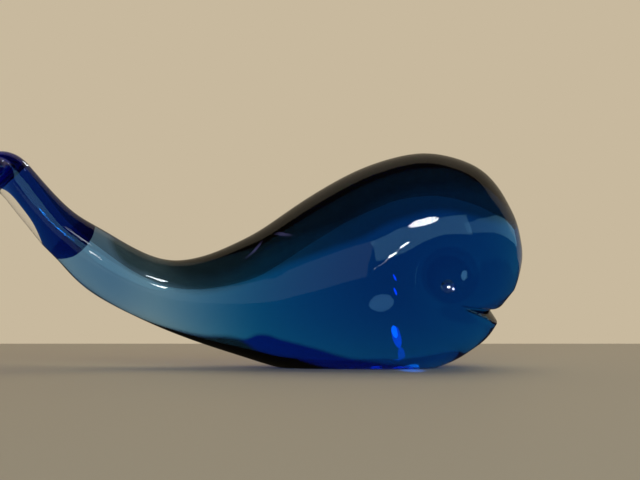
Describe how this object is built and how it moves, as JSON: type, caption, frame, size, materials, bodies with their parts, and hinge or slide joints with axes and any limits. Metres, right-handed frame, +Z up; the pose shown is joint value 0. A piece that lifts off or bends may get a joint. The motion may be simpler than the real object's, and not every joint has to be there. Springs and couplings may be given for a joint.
{
  "type": "whale figurine",
  "caption": "Solid cased-glass whale ornament: blue body in a clear casing, cobalt tail with two lobes, bead eyes, pressed mouth and a flat ground under the belly.",
  "frame": {"origin": "on the plane it stands on, under the middle of the overall length and width", "axes": "+X from the tail towards the nose, +Y towards the whale's left side, +Z up"},
  "size_m": [0.193, 0.054, 0.0736],
  "materials": {
    "steel_blue_glass": "gloss",
    "cobalt_glass": "gloss",
    "clear_glass": "gloss"
  },
  "bodies": {
    "root": {"body_core": "steel_blue_glass", "body_casing": "clear_glass", "tail_core": "cobalt_glass", "tail_casing": "clear_glass", "left_fluke": "cobalt_glass", "right_fluke": "cobalt_glass", "left_eye": "clear_glass", "right_eye": "clear_glass"}
  },
  "joints": []
}
